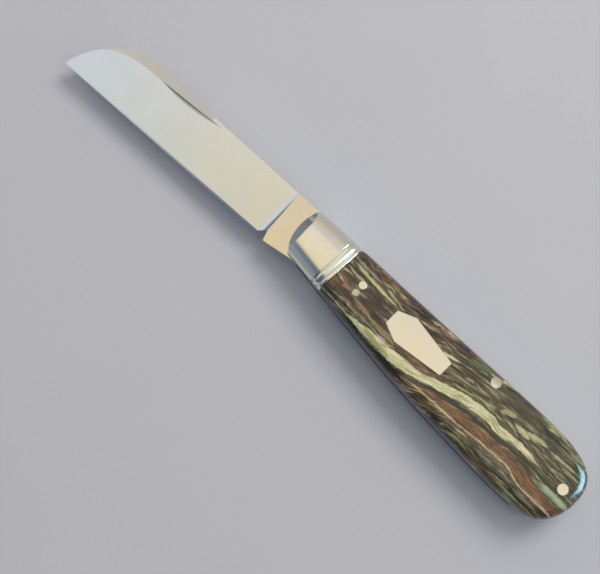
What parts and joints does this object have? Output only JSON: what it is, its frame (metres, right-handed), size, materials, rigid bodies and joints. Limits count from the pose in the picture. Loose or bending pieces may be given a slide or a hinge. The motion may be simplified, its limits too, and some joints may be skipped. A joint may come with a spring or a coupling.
{
  "type": "folding whittling knife",
  "caption": "Folding slip-joint whittling knife with a sheepfoot blade, long nail nick, beaded bolsters, banded covers and a coffin-shaped shield.",
  "frame": {"origin": "on the pivot axis, in the plane of the pile side's flat land, which the knife lies on", "axes": "+X from the pivot to the butt, +Y to the back (spring side), +Z to the mark side; the open blade points to -X with its edge to -Y"},
  "size_m": [0.1716, 0.0252, 0.0124],
  "materials": {
    "blade_steel": "fine satin with polished swedge",
    "spring_steel": "polished edge",
    "liner_steel": "satin",
    "nickel_silver": "mirror polish",
    "bush_bronze": "turned",
    "fossil_cover": "polished, banded"
  },
  "bodies": {
    "handle": {"pivot_bushing": "bush_bronze", "pivot_pin": "nickel_silver", "liner_mark": "liner_steel", "liner_pile": "liner_steel", "bolster_mark": "nickel_silver", "bolster_pile": "nickel_silver", "bolster_pins_mark": "nickel_silver", "bolster_pins_pile": "nickel_silver", "cover_mark": "fossil_cover", "cover_pile": "fossil_cover", "shield": "nickel_silver", "shield_pins": "nickel_silver", "cover_pin_mark": "nickel_silver", "cover_pin_pile": "nickel_silver", "centre_pin": "nickel_silver", "butt_pin": "nickel_silver"},
    "blade": {"blade": "blade_steel"},
    "spring": {"backspring": "spring_steel"}
  },
  "joints": [
    {"name": "blade_pivot", "type": "hinge", "parent": "handle", "child": "blade", "pos_m": [0, 0, 0.0062], "axis": [0, 0, 1], "range_deg": [0, 172], "deforming": ["backspring"]},
    {"name": "backspring_flex", "type": "hinge", "parent": "handle", "child": "spring", "pos_m": [0.05676, 0.00471, 0.0062], "axis": [0, 0, -1], "range_deg": [0, 1.8], "stiffness_Nm_per_rad": 0.5, "deforming": ["backspring"]}
  ]
}
